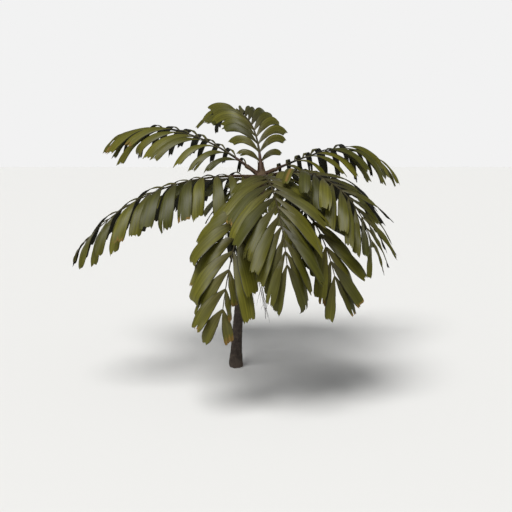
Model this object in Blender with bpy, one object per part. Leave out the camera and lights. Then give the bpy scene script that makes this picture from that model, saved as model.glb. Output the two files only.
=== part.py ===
"""Young feather-leaved palm tree, about 2 m tall: a thin leaning trunk with a flared foot and
a crown of twelve arching fronds, each a rib with pairs of strap-shaped leaflets.

Metres, Z up. The origin is the middle of the trunk's flat cut at ground level. The trunk leans
towards +X, and the crown's front is towards -Y.
"""
import math
import random
from dataclasses import dataclass

import bmesh
import bpy
from mathutils import Vector
from mathutils.bvhtree import BVHTree

# ---------------------------------------------------------------- driving dimensions
HEART_HEIGHT = 1.463
HEART_OFFSET = 0.195
LEAN_POWER = 1.7
TRUNK_SIDES = 16
TRUNK_RINGS = 4
TRUNK_PROFILE = (
    (0.000, 0.0520),
    (0.060, 0.0510),
    (0.100, 0.0450),
    (0.180, 0.0405),
    (0.300, 0.0370),
    (0.750, 0.0330),
    (1.200, 0.0300),
    (1.300, 0.0330),
    (1.360, 0.0430),
    (1.460, 0.0450),
    (1.490, 0.0340),
    (1.503, 0.0120),
)

# Gap between two solids that meet, and the room kept round every leaflet and strand.
FIT_GAP = 0.0003
CLEARANCE = 0.0012
STAND_OFF = 0.0008
LEAST_SPREAD = 21
BLADE_THICKNESS = 0.0052
BLADE_WIDTH = 0.082
TIP_LEAFLET = 0.66
RIB_WIDTH_BASE = 0.024
RIB_WIDTH_TIP = 0.006
RIB_HEIGHT_BASE = 0.026
RIB_HEIGHT_TIP = 0.006
RIB_TAPER = 0.55
RIB_STEPS = 60
BLADE_STEPS = 8
BEND_POWER = 1.25
FALL_POWER = 1.4
# Leaflets: half the root's length along the rib, how the pairs close up towards the tip, and
# how much length, width, spread, turn and fall differ from one leaflet to the next.
ROOT_HALF = 0.007
PAIR_SPACING = 0.94
LENGTH_VARIES = 0.07
WIDTH_VARIES = 0.08
ANGLE_VARIES = 3.0
FALL_VARIES = 0.12
# Flower stalks: half thickness of the stem at its foot and tip, width of a strand, tries to
# find room for one, and how much a strand's length and angles differ.
STEM_HALF = (0.006, 0.004)
STRAND_ROOT_HALF = 0.005
STRAND_WIDTH = 0.007
STRAND_TRIES = 12
STRAND_STOPS = (0.15, 0.4, 0.7, 1.0)
STRAND_SHORTEST = 0.75
STRAND_SPREAD_VARIES = 10
STRAND_LIFT_VARIES = 40
LEAF_COLOUR = (0.125, 0.130, 0.035)
BARK_COLOUR = (0.065, 0.050, 0.042)
STALK_COLOUR = (0.035, 0.026, 0.018)
SEED = 11

# Leaflet sections: share of the length at the near edge, at the far edge, share of the width.
SECTIONS = (
    (0.26, 0.26, 0.62),
    (0.58, 0.58, 1.00),
    (0.86, 0.88, 0.98),
    (0.93, 1.00, 0.78),
)
NOTCH = 0.045
# Changes of lift, fall, turn, spread and size tried in order when a leaflet has no room.
POSES = (
    (0, 0.0, 0, 0, 1.0),
    (6, -0.2, 4, 0, 1.0),
    (-6, 0.3, -4, 0, 1.0),
    (12, -0.3, 8, 0, 1.0),
    (-12, 0.6, -8, 0, 1.0),
    (4, 0.5, 14, 0, 0.95),
    (-4, -0.5, -14, 0, 0.95),
    (0, 0.0, 6, 7, 0.9),
    (0, 0.0, -6, -7, 0.9),
    (20, 0.2, 6, 0, 0.9),
    (-20, 0.2, -6, 0, 0.9),
    (8, 0.0, 20, 5, 0.8),
    (-8, 0.0, -20, -5, 0.8),
    (16, 0.0, 0, 12, 0.7),
    (-16, 0.0, 0, -12, 0.7),
    (0, 0.0, 30, 0, 0.65),
)


@dataclass
class Frond:
    """Shape of one frond: where it leaves the trunk, how its rib bends, how its leaflets stand.

    Angles are in degrees. Azimuth 0 is +X and 90 is +Y. The rib leaves at the angle `rise` above
    level and has bent down by `droop` at its tip. The leaflets stand off the rib by `spread` at
    the first pair and `tip_spread` at the last, are lifted by `lift` above the rib's own plane
    and are pulled down along their length by `fall`. `turn` tilts each blade about its own axis,
    like the slats of a blind. `first` is the first pair's place on the rib, `short` its share of
    the longest leaflet, `bend` how late the rib bends, `width` the widest leaflet's width, `tip`
    the last leaflet's share of the longest, and `lean` opens one side and closes the other.
    """

    name: str
    height: float
    azimuth: float
    rise: float
    droop: float
    sweep: float
    length: float
    pairs: int
    leaflet: float
    spread: float
    tip_spread: float
    lift: float
    fall: float
    turn: float
    tip_turn: float = -12
    roll: float = 0
    first: float = 0.14
    short: float = 0.5
    bend: float = BEND_POWER
    lean: float = 0
    width: float = BLADE_WIDTH
    tip: float = TIP_LEAFLET


@dataclass
class Stalk:
    """Shape of one old flower stalk: a thin stem with hanging strands at its end."""

    name: str
    height: float
    azimuth: float
    rise: float
    droop: float
    length: float
    strands: int
    strand: float
    first: float
    spread: float
    fall: float


FRONDS = (
    Frond("front_frond", 1.435, 275, 8, 76, 8, 1.17, 13, 0.50, 58, 25, 0, 1.1, -38, first=0.08,
          width=0.092),
    Frond("front_left_frond", 1.395, 260, -10, 60, -8, 1.25, 9, 0.49, 40, 30, 0, 1.3, -30,
          roll=15, lean=7, width=0.110, tip=0.50),
    Frond("front_right_frond", 1.395, 300, -2, 66, 0, 1.10, 10, 0.44, 50, 22, 0, 0.6, -30, roll=-8,
          width=0.096),
    Frond("right_front_frond", 1.438, 318, 15, 80, -12, 1.12, 13, 0.46, 65, 25, 10, 1.6, -15,
          first=0.08, width=0.085, tip=0.55),
    Frond("left_frond", 1.435, 200, 4, 53, 0, 1.37, 15, 0.49, 84, 30, 12, 2.6, -15, short=1.1,
          first=0.07, width=0.098, tip=0.42),
    Frond("left_back_frond", 1.460, 160, 36, 51, -15, 1.25, 15, 0.58, 46, 22, 12, 1.8, -15, short=0.7,
          first=0.07, tip=0.5),
    Frond("right_back_frond", 1.458, 38, 17, 48, 0, 1.21, 15, 0.56, 44, 22, 22, 2.2, -15, short=0.5,
          first=0.08, bend=2.2, tip=0.5),
    Frond("back_frond", 1.460, 95, 60, 76, 33, 1.04, 14, 0.40, 42, 25, 28, 1.3, 15, tip_turn=15,
          first=0.08),
    Frond("right_frond", 1.420, 18, 18, 98, 15, 1.00, 12, 0.40, 60, 25, 15, 1.4, 15, tip_turn=15,
          first=0.08),
    Frond("rear_right_frond", 1.405, 62, 6, 72, 8, 1.10, 12, 0.42, 60, 25, 12, 1.6, 15, tip_turn=15,
          first=0.08),
    Frond("rear_frond", 1.400, 112, -6, 60, -8, 1.06, 12, 0.42, 60, 25, 10, 1.4, 15, tip_turn=15,
          first=0.08),
    Frond("rear_left_frond", 1.405, 150, 4, 46, 8, 1.00, 11, 0.38, 60, 25, 12, 1.6, 15, tip_turn=15,
          first=0.08),
)
STALKS = (
    Stalk("left_flower_stalk", 1.345, 205, -32, 40, 0.60, 6, 0.30, 0.62, 38, 2.0),
    Stalk("right_flower_stalk", 1.345, 268, -70, 16, 0.66, 6, 0.34, 0.60, 26, 1.4),
)


# ---------------------------------------------------------------- shape rules
def trunk_centre(z):
    """Trunk axis at a height: upright at the foot and leaning more and more towards +X."""
    return Vector((HEART_OFFSET * (z / HEART_HEIGHT) ** LEAN_POWER, 0.0, z))


def trunk_radius(z):
    """Trunk radius at a height, eased between the named heights."""
    for (z0, r0), (z1, r1) in zip(TRUNK_PROFILE, TRUNK_PROFILE[1:]):
        if z <= z1:
            t = max(0.0, (z - z0) / (z1 - z0))
            return r0 + (r1 - r0) * t
    return TRUNK_PROFILE[-1][1]


def aim(elevation, azimuth):
    """Unit direction from an elevation and an azimuth in degrees."""
    e = math.radians(elevation)
    a = math.radians(azimuth)
    return Vector((math.cos(e) * math.cos(a), math.cos(e) * math.sin(a), math.sin(e)))


def square_frame(tangent, roll=0.0):
    """Side and up directions square to a rib's tangent."""
    side = tangent.cross(Vector((0, 0, 1))).normalized()
    up = side.cross(tangent)
    c = math.cos(math.radians(roll))
    s = math.sin(math.radians(roll))
    return side * c + up * s, up * c - side * s


def root_point(limb, half_width, half_height):
    """Middle of a limb's foot, set so its corners just clear the trunk."""
    tangent = aim(limb.rise, limb.azimuth)
    side, up = square_frame(tangent)
    outward = aim(0, limb.azimuth)
    reach = 0.03
    while True:
        foot = trunk_centre(limb.height) + outward * reach
        nearest = 1.0
        for a in (-1, 0, 1):
            for b in (-1, 0, 1):
                corner = foot + side * a * half_width + up * b * half_height
                axis = trunk_centre(corner.z)
                away = math.hypot(corner.x - axis.x, corner.y - axis.y)
                nearest = min(nearest, away - trunk_radius(corner.z))
        if nearest >= FIT_GAP:
            return foot
        reach += 0.0002


class Rib:
    """Centre line of a limb with its direction at every point."""

    def __init__(self, limb, half_width, half_height, sweep=0.0, bend=BEND_POWER):
        self.points = [root_point(limb, half_width, half_height)]
        self.tangents = []
        for i in range(RIB_STEPS):
            m = (i + 0.5) / RIB_STEPS
            way = aim(limb.rise - limb.droop * m ** bend, limb.azimuth + sweep * m)
            self.tangents.append(way)
            self.points.append(self.points[-1] + way * limb.length / RIB_STEPS)

    def at(self, s):
        """Point and direction at a share of the length."""
        x = min(max(s, 0.0), 1.0) * RIB_STEPS
        i = min(int(x), RIB_STEPS - 1)
        point = self.points[i].lerp(self.points[i + 1], x - i)
        j = min(i + 1, RIB_STEPS - 1)
        return point, self.tangents[i].lerp(self.tangents[j], x - i).normalized()


class Blade:
    """One leaflet: a centre line that arches out and falls, with its width direction."""

    def __init__(self, point, tangent, frame, sign, spread, lift, fall, turn, length, width):
        self.length = length
        self.width = width
        side, up = frame
        a = math.radians(spread)
        b = math.radians(lift)
        start = tangent * math.cos(a)
        start += (side * sign * math.cos(b) + up * math.sin(b)) * math.sin(a)
        self.points = [point.copy()]
        self.across = []
        self.normals = []
        for i in range(BLADE_STEPS):
            t = (i + 0.5) / BLADE_STEPS
            way = (start - Vector((0, 0, fall * t ** FALL_POWER))).normalized()
            self.points.append(self.points[-1] + way * length / BLADE_STEPS)
            wide = (tangent - way * tangent.dot(way)).normalized()
            top = way.cross(wide) * sign
            c = math.cos(math.radians(turn))
            s = math.sin(math.radians(turn))
            self.across.append(wide * c + top * s)
            self.normals.append(top * c - wide * s)

    def at(self, t):
        """Centre, width direction and upper-face direction at a share of the length."""
        x = min(max(t, 0.0), 1.0) * BLADE_STEPS
        i = min(int(x), BLADE_STEPS - 1)
        point = self.points[i].lerp(self.points[i + 1], x - i)
        k = min(max(x - 0.5, 0.0), BLADE_STEPS - 1.001)
        j = int(k)
        wide = self.across[j].lerp(self.across[j + 1], k - j).normalized()
        top = self.normals[j].lerp(self.normals[j + 1], k - j).normalized()
        return point, wide, top

    def corners(self, near, far, share, grow=0.0):
        """Four corners of a cross-section: near and far edge above, far and near edge below."""
        half = self.width * share / 2 + grow
        thick = BLADE_THICKNESS / 2 + grow
        p0, w0, n0 = self.at(near)
        p1, w1, n1 = self.at(far)
        a = p0 - w0 * half
        b = p1 + w1 * half
        return [a + n0 * thick, b + n1 * thick, b - n1 * thick, a - n0 * thick]


def bulge(u, first, last, peak=0.38):
    """Share of the full size along the rib: rising to one at the peak, then easing down."""
    if u < peak:
        return 1 - (1 - first) * (1 - u / peak) ** 2
    return 1 - (1 - last) * ((u - peak) / (1 - peak)) ** 2


def rib_half_sizes(s):
    """Half width and half height of a frond's rib at a share of its length."""
    k = s ** RIB_TAPER
    return ((RIB_WIDTH_BASE + (RIB_WIDTH_TIP - RIB_WIDTH_BASE) * k) / 2,
            (RIB_HEIGHT_BASE + (RIB_HEIGHT_TIP - RIB_HEIGHT_BASE) * k) / 2)


# ---------------------------------------------------------------- room between the leaflets
class Room:
    """Everything already in place, as search trees a new leaflet is tried against."""

    def __init__(self):
        self.taken = []

    @staticmethod
    def tube(rings):
        """Search tree of a closed tube through rings of four corners."""
        points = [p for ring in rings for p in ring]
        last = 4 * (len(rings) - 1)
        quads = [(0, 1, 2, 3), (last, last + 1, last + 2, last + 3)]
        for k in range(0, last, 4):
            for i in range(4):
                j = (i + 1) % 4
                quads.append((k + i, k + j, k + 4 + j, k + 4 + i))
        faces = []
        for a, b, c, d in quads:
            faces += [(a, b, c), (a, c, d), (a, b, d), (b, c, d)]
        return BVHTree.FromPolygons(points, faces)

    @staticmethod
    def box(rings):
        """Lowest and highest corner of the rings."""
        points = [p for ring in rings for p in ring]
        low = [min(p[i] for p in points) for i in range(3)]
        high = [max(p[i] for p in points) for i in range(3)]
        return low, high

    def add(self, rings, owner):
        """Keep a tube as taken room."""
        self.taken.append((self.box(rings), self.tube(rings), owner))

    def free(self, rings, owner=None):
        """True when the tube meets nothing but its owner."""
        low, high = self.box(rings)
        tree = None
        for (l2, h2), other, name in self.taken:
            if owner is not None and name == owner:
                continue
            if any(low[i] > h2[i] or high[i] < l2[i] for i in range(3)):
                continue
            tree = tree or self.tube(rings)
            if tree.overlap(other):
                return False
        return True


# ---------------------------------------------------------------- solids
def new_object(name, bm, colour, roughness):
    """Put a finished solid in the scene with its own surface."""
    bmesh.ops.triangulate(bm, faces=bm.faces[:])
    bmesh.ops.recalc_face_normals(bm, faces=bm.faces[:])
    mesh = bpy.data.meshes.new(name)
    bm.to_mesh(mesh)
    bm.free()
    solid = bpy.data.objects.new(name, mesh)
    bpy.context.scene.collection.objects.link(solid)
    surface = bpy.data.materials.new(name + " surface")
    surface.use_nodes = True
    shader = surface.node_tree.nodes["Principled BSDF"]
    shader.inputs["Base Color"].default_value = (*colour, 1.0)
    shader.inputs["Roughness"].default_value = roughness
    shader.inputs["Metallic"].default_value = 0.0
    surface.diffuse_color = (*colour, 1.0)
    surface.roughness = roughness
    mesh.materials.append(surface)
    for face in mesh.polygons:
        face.use_smooth = True
    return solid


def extrude_to(bm, face, corners):
    """Extrude a four-sided face and set its corners; the order of the corners is kept."""
    before = [v.co.copy() for v in face.verts]
    end = bmesh.ops.extrude_discrete_faces(bm, faces=[face])["faces"][0]
    for vert in end.verts:
        index = min(range(4), key=lambda i: (before[i] - vert.co).length)
        vert.co = corners[index]
    return end


def matched(face, corners):
    """Corners in the order of the face's own corners, by the ring they continue."""
    ring, target = corners
    order = []
    for vert in face.verts:
        index = min(range(4), key=lambda i: (ring[i] - vert.co).length)
        order.append(target[index])
    return order


def tube_solid(bm, rings):
    """Closed tube through rings of four corners, from one cube by extrusion."""
    bmesh.ops.create_cube(bm, size=2.0)
    unit = [Vector(c) for c in ((-1, -1, 0), (1, -1, 0), (1, 1, 0), (-1, 1, 0))]
    kept = [[None] * 4, [None] * 4]
    for vert in bm.verts:
        index = min(range(4), key=lambda i: (unit[i] - Vector((vert.co.x, vert.co.y, 0))).length)
        kept[0 if vert.co.z < 0 else 1][index] = vert
    for k in (0, 1):
        for i in range(4):
            kept[k][i].co = rings[k][i]
    end = bm.faces.get(kept[1])
    for k in range(2, len(rings)):
        end = extrude_to(bm, end, matched(end, (rings[k - 1], rings[k])))
        row = [min(end.verts, key=lambda v: (v.co - p).length) for p in rings[k]]
        kept.append(row)
    return kept


def grow_branch(bm, root, sections, notch=None):
    """Extrude a branch from a side face, the first section, through the others.

    With a notch, the middle of the branch's end edges is drawn back by it.
    """
    end = root
    for k in range(1, len(sections)):
        end = extrude_to(bm, end, matched(end, (sections[k - 1], sections[k])))
    if notch is not None:
        for edge in sorted(end.edges, key=lambda e: -e.calc_length())[:2]:
            vert = bmesh.utils.edge_split(edge, edge.verts[0], 0.5)[1]
            vert.co -= notch


def root_section(ring, next_ring, sign):
    """A branch's root on a rib's side: near and far corner above, far and near corner below."""
    low, high = (1, 2) if sign > 0 else (0, 3)
    return [ring[high], next_ring[high], next_ring[low], ring[low]]


def stand_off(root, ring):
    """A root section moved just off the rib's side, for trying the branch against the rib."""
    away = (sum(root, Vector()) / 4 - sum(ring, Vector()) / 4)
    along = (root[1] - root[0]).normalized()
    away = (away - along * away.dot(along)).normalized()
    return [p + away * STAND_OFF for p in root]


def side_face(bm, kept, k, sign):
    """Side face of a tube between two rings, on the side asked for."""
    i, j = (1, 2) if sign > 0 else (0, 3)
    return bm.faces.get((kept[k][i], kept[k][j], kept[k + 1][j], kept[k + 1][i]))


def rib_ring(rib, s, sizes, roll=0.0):
    """Four corners of a rib's cross-section."""
    point, tangent = rib.at(s)
    side, up = square_frame(tangent, roll)
    w, h = sizes(s)
    return [point - side * w - up * h, point + side * w - up * h,
            point + side * w + up * h, point - side * w + up * h]


class FrondBuilder:
    """Makes the two solids of one frond: the inner half up to the bend and the outer half."""

    def __init__(self, frond):
        self.frond = frond
        w, h = rib_half_sizes(0.0)
        self.rib = Rib(frond, w, h, frond.sweep, frond.bend)
        self.dice = random.Random(f"{SEED} {frond.name}")
        self.stations = []
        for i in range(frond.pairs):
            u = i / (frond.pairs - 1)
            last = 1.0 - self.root_half(1.0)
            self.stations.append((u, frond.first + (last - frond.first) * u ** PAIR_SPACING))
        middle = frond.pairs // 2
        self.split = (self.stations[middle - 1][1] + self.stations[middle][1]) / 2
        self.leaflets = {}

    def root_half(self, u):
        """Half of the root's length along the rib, as a share of the rib."""
        return ROOT_HALF * bulge(u, 0.8, 0.8) / self.frond.length

    def halves(self):
        """Ring positions and stations of the inner and the outer half."""
        gap = FIT_GAP / 2 / self.frond.length
        middle = self.frond.pairs // 2
        end = self.split - gap
        for name, part, start in (("inner", self.stations[:middle], 0.0),
                                  ("outer", self.stations[middle:], self.split + gap)):
            rings = [start]
            roots = []
            for u, s in part:
                half = self.root_half(u)
                roots.append((u, s, len(rings)))
                rings += [s - half, s + half]
            if name == "inner":
                rings.append(end)
            yield name, rings, roots

    def reserve(self, room):
        """Keep the rib's own room before any leaflet is placed."""
        for name, rings, roots in self.halves():
            tube = [rib_ring(self.rib, s, rib_half_sizes) for s in rings]
            if not room.free(tube, self.frond.name):
                print("rib meets another limb:", self.frond.name, name)
            room.add(tube, self.frond.name)

    def place(self, room):
        """Find a free pose for every leaflet."""
        f = self.frond
        skipped = 0
        for index, (u, s) in enumerate(self.stations):
            point, tangent = self.rib.at(s)
            frame = square_frame(tangent, f.roll)
            half = self.root_half(u)
            foot = rib_ring(self.rib, s - half, rib_half_sizes)
            after = rib_ring(self.rib, s + half, rib_half_sizes)
            for sign in (-1, 1):
                root = root_section(foot, after, sign)
                start = stand_off(root, foot)
                draw = [self.dice.uniform(-1, 1) for _ in range(5)]
                length = f.leaflet * bulge(u, f.short, f.tip) * (1 + LENGTH_VARIES * draw[0])
                width = f.width * bulge(u, 0.55, 0.72) * (1 + WIDTH_VARIES * draw[1])
                spread = f.spread + (f.tip_spread - f.spread) * u + f.lean * sign
                spread += ANGLE_VARIES * draw[2]
                turn = f.turn + (f.tip_turn - f.turn) * u ** 0.7 + ANGLE_VARIES * draw[3]
                fall = f.fall * (1 + FALL_VARIES * draw[4])
                for lift_more, fall_more, turn_more, spread_more, size in POSES:
                    blade = Blade(point, tangent, frame, sign,
                                  max(spread + spread_more, LEAST_SPREAD),
                                  f.lift + lift_more, fall + fall_more, turn + turn_more,
                                  length * size, width * size)
                    slab = [start] + [blade.corners(a, b, c, CLEARANCE) for a, b, c in SECTIONS]
                    if room.free(slab):
                        break
                else:
                    skipped += 1
                    continue
                solid = [root] + [blade.corners(a, b, c) for a, b, c in SECTIONS]
                room.add(solid, "leaflet")
                self.leaflets[(index, sign)] = blade, solid
        print("leaflets placed:", f.name, len(self.leaflets), "skipped", skipped)

    def build(self):
        """Make the solids."""
        numbers = {round(s, 6): i for i, (u, s) in enumerate(self.stations)}
        for name, rings, roots in self.halves():
            bm = bmesh.new()
            kept = tube_solid(bm, [rib_ring(self.rib, s, rib_half_sizes) for s in rings])
            for u, s, k in roots:
                for sign in (-1, 1):
                    if (numbers[round(s, 6)], sign) not in self.leaflets:
                        continue
                    blade, sections = self.leaflets[(numbers[round(s, 6)], sign)]
                    notch = (blade.at(1.0)[0] - blade.at(0.8)[0]).normalized()
                    grow_branch(bm, side_face(bm, kept, k, sign), sections,
                                notch * NOTCH * blade.length)
            new_object(f"{self.frond.name}_{name}", bm, LEAF_COLOUR, 0.5)


def stalk_half_sizes(s):
    """Half width and half height of a flower stalk's stem."""
    half = STEM_HALF[0] + (STEM_HALF[1] - STEM_HALF[0]) * s
    return half, half


def build_stalk(stalk, room):
    """One old flower stalk: a stem with strands in pairs, all thin and dry."""
    rib = Rib(stalk, STEM_HALF[0], STEM_HALF[0])
    half = STRAND_ROOT_HALF / stalk.length
    stations = [stalk.first + (0.97 - stalk.first) * i / (stalk.strands - 1)
                for i in range(stalk.strands)]
    rings = [0.0, stalk.first / 2]
    roots = []
    for s in stations:
        roots.append((s, len(rings)))
        rings += [s - half, s + half]
    rings.append(1.0)
    tube = [rib_ring(rib, s, stalk_half_sizes) for s in rings]
    if not room.free(tube, stalk.name):
        print("stalk meets another limb:", stalk.name)
    room.add(tube, stalk.name)
    bm = bmesh.new()
    kept = tube_solid(bm, tube)
    dice = random.Random(f"{SEED} {stalk.name}")
    for s, k in roots:
        point, tangent = rib.at(s)
        frame = square_frame(tangent)
        for sign in (-1, 1):
            root = root_section(tube[k], tube[k + 1], sign)
            start = stand_off(root, tube[k])
            for _ in range(STRAND_TRIES):
                length = stalk.strand * dice.uniform(STRAND_SHORTEST, 1.0)
                spread = dice.uniform(-STRAND_SPREAD_VARIES, STRAND_SPREAD_VARIES)
                lift = dice.uniform(-STRAND_LIFT_VARIES, STRAND_LIFT_VARIES)
                blade = Blade(point, tangent, frame, sign, stalk.spread + spread, lift,
                              stalk.fall, 0, length, STRAND_WIDTH)
                sections = [root] + [blade.corners(t, t, 1.0) for t in STRAND_STOPS]
                grown = [start] + [blade.corners(t, t, 1.0, CLEARANCE) for t in STRAND_STOPS]
                if room.free(grown):
                    room.add(sections, "strand")
                    grow_branch(bm, side_face(bm, kept, k, sign), sections)
                    break
            else:
                print("strand skipped:", stalk.name)
    new_object(stalk.name, bm, STALK_COLOUR, 0.85)


def build_trunk(room):
    """Leaning trunk from its flat cut at the ground to the tip of the heart."""
    heights = [0.0]
    for (z0, r0), (z1, r1) in zip(TRUNK_PROFILE, TRUNK_PROFILE[1:]):
        steps = TRUNK_RINGS if z1 - z0 > 0.4 else 1
        heights += [z0 + (z1 - z0) * (i + 1) / steps for i in range(steps)]
    bm = bmesh.new()
    bmesh.ops.create_circle(bm, cap_ends=True, radius=trunk_radius(0.0), segments=TRUNK_SIDES)
    end = bm.faces[:][0]
    start = end.copy()
    start.normal_flip()
    for z0, z1 in zip(heights, heights[1:]):
        end = bmesh.ops.extrude_discrete_faces(bm, faces=[end])["faces"][0]
        scale = trunk_radius(z1) / trunk_radius(z0)
        for vert in end.verts:
            arm = (vert.co - trunk_centre(z0)) * scale
            vert.co = trunk_centre(z1) + Vector((arm.x, arm.y, 0.0))
    bmesh.ops.remove_doubles(bm, verts=bm.verts[:], dist=0.00001)
    boxes = []
    for z in heights:
        c = trunk_centre(z)
        r = trunk_radius(z)
        boxes.append([c + Vector((x * r, y * r, 0)) for x, y in ((-1, 0), (0, -1), (1, 0), (0, 1))])
    room.add(boxes, "trunk")
    new_object("trunk", bm, BARK_COLOUR, 0.9)


def main():
    """Clear the scene and build the tree."""
    for old in list(bpy.data.objects):
        bpy.data.objects.remove(old, do_unlink=True)
    room = Room()
    build_trunk(room)
    builders = [FrondBuilder(frond) for frond in FRONDS]
    for builder in builders:
        builder.reserve(room)
    for stalk in STALKS:
        build_stalk(stalk, room)
    for builder in builders:
        builder.place(room)
    for builder in builders:
        builder.build()


if __name__ == "__main__":
    main()
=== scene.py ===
"""Dressed model of a young feather-leaved palm tree.

The frame gives the solids: a trunk, twelve fronds in two halves each and two old flower stalks.
This script grows the same fronds again by the same rule, with thin pleated leaflets, rounded
ribs, ringed bark and fine dry strands, and dresses them.
"""
import logging
import math
import random
from dataclasses import dataclass, field
from enum import Enum

import bpy
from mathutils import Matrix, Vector, noise
from mathutils.bvhtree import BVHTree


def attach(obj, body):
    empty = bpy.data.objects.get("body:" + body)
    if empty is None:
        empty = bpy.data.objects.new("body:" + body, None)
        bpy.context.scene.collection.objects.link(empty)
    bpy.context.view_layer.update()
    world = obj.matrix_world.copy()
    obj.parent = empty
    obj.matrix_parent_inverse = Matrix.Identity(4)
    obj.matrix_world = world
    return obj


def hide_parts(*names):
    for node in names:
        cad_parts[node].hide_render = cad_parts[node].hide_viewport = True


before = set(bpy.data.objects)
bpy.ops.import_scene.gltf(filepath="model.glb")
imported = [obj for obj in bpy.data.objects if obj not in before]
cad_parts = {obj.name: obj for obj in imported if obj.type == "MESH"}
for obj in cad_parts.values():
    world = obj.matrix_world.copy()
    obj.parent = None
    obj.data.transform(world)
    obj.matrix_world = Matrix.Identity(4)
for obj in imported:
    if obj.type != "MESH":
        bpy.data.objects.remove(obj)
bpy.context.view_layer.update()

log = logging.getLogger("palm")

# The rule by which the solids grew, in metres and degrees.
HEART_HEIGHT = 1.463
HEART_OFFSET = 0.195
LEAN_POWER = 1.7
BLADE_WIDTH = 0.082
TIP_LEAFLET = 0.66
BLADE_THICKNESS = 0.0052
RIB_WIDTH = (0.024, 0.006)
RIB_HEIGHT = (0.026, 0.006)
RIB_TAPER = 0.55
RIB_STEPS = 60
BEND_POWER = 1.25
FALL_POWER = 1.4
TURN_POWER = 0.7
FIT_GAP = 0.0003
LEAST_SPREAD = 21
ROOT_HALF = 0.007
PAIR_SPACING = 0.94
ROOT_ENDS = (0.8, 0.8)
WIDTH_ENDS = (0.55, 0.72)
LENGTH_VARIES = 0.07
WIDTH_VARIES = 0.08
ANGLE_VARIES = 3.0
FALL_VARIES = 0.12
STRAND_WIDTH = 0.007
STRAND_TRIES = 12
STRAND_SHORTEST = 0.75
STRAND_SPREAD_VARIES = 10
STRAND_LIFT_VARIES = 40
SEED = 11
# A solid has a blade when the blade's corners lie this near its surface. The corners are given as
# a share of the length and the share of the width there.
SAME_PLACE = 0.0004
LEAFLET_CORNERS = ((0.26, 0.62), (0.58, 1.0))
STRAND_CORNERS = ((0.4, 1.0), (0.7, 1.0))
# Edges sharper than this stay sharp.
CREASE = math.radians(50)
TRUNK_PROFILE = (
    (0.000, 0.0520),
    (0.060, 0.0510),
    (0.100, 0.0450),
    (0.180, 0.0405),
    (0.300, 0.0370),
    (0.750, 0.0330),
    (1.200, 0.0300),
    (1.300, 0.0330),
    (1.360, 0.0430),
    (1.460, 0.0450),
    (1.490, 0.0340),
    (1.503, 0.0120),
)
# Changes of lift, fall, turn, spread and size that a leaflet may take to find room.
POSES = (
    (0, 0.0, 0, 0, 1.0),
    (6, -0.2, 4, 0, 1.0),
    (-6, 0.3, -4, 0, 1.0),
    (12, -0.3, 8, 0, 1.0),
    (-12, 0.6, -8, 0, 1.0),
    (4, 0.5, 14, 0, 0.95),
    (-4, -0.5, -14, 0, 0.95),
    (0, 0.0, 6, 7, 0.9),
    (0, 0.0, -6, -7, 0.9),
    (20, 0.2, 6, 0, 0.9),
    (-20, 0.2, -6, 0, 0.9),
    (8, 0.0, 20, 5, 0.8),
    (-8, 0.0, -20, -5, 0.8),
    (16, 0.0, 0, 12, 0.7),
    (-16, 0.0, 0, -12, 0.7),
    (0, 0.0, 30, 0, 0.65),
)


# ------------------------------------------------------------------ finishes
def linear(code: str) -> tuple[float, float, float, float]:
    """Turns an sRGB hex colour to linear.

    Args:
        code: Colour such as "5c5c28".

    Returns:
        Red, green, blue and alpha, linear.
    """
    channels = []
    for i in (0, 2, 4):
        c = int(code[i:i + 2], 16) / 255
        channels.append(c / 12.92 if c <= 0.04045 else ((c + 0.055) / 1.055) ** 2.4)
    return channels[0], channels[1], channels[2], 1.0


def set_inputs(tree: bpy.types.NodeTree, node: bpy.types.Node, values: dict | None = None,
               links: dict | None = None) -> None:
    """Sets and links the inputs of a node.

    Args:
        tree: Node tree it is in.
        node: The node.
        values: Input name or number to its value.
        links: Input name or number to (node, output name or number).
    """
    for key, value in (values or {}).items():
        node.inputs[key].default_value = value
    for key, (source, output) in (links or {}).items():
        tree.links.new(source.outputs[output], node.inputs[key])


def add_node(tree: bpy.types.NodeTree, kind: str, settings: dict | None = None,
             values: dict | None = None, links: dict | None = None,
             stops: tuple = ()) -> bpy.types.Node:
    """Adds a shader node with its settings and links.

    Args:
        tree: Node tree it goes in.
        kind: Node type without "ShaderNode", such as "TexNoise".
        settings: Properties of the node.
        values: Input name or number to its value.
        links: Input name or number to (node, output name or number).
        stops: Colour ramp stops as (position, hex colour).

    Returns:
        The new node.
    """
    node = tree.nodes.new(f"ShaderNode{kind}")
    for key, value in (settings or {}).items():
        setattr(node, key, value)
    set_inputs(tree, node, values, links)
    if stops:
        ramp = node.color_ramp
        while len(ramp.elements) < len(stops):
            ramp.elements.new(0.5)
        for element, (position, code) in zip(ramp.elements, stops):
            element.position = position
            element.color = linear(code)
    return node


def add_grain(tree: bpy.types.NodeTree, place: tuple, spots: tuple,
              detail: float) -> bpy.types.Node:
    """Adds a noise whose spots have a real size.

    Args:
        tree: Node tree it goes in.
        place: Node and output that give the place in metres.
        spots: Size of a spot along each axis in metres.
        detail: Octaves of finer noise.

    Returns:
        The noise node.
    """
    drawn_out = add_node(tree, "Mapping", None, {"Scale": [1 / size for size in spots]},
                         {"Vector": place})
    return add_node(tree, "TexNoise", None, {"Scale": 1.0, "Detail": detail},
                    {"Vector": (drawn_out, 0)})


def new_material(name: str) -> tuple[bpy.types.Material, bpy.types.NodeTree, bpy.types.Node]:
    """Makes an empty material.

    Args:
        name: Its name.

    Returns:
        The material, its node tree and its Principled shader.
    """
    material = bpy.data.materials.new(name)
    material.use_nodes = True
    tree = material.node_tree
    return material, tree, tree.nodes["Principled BSDF"]


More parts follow.
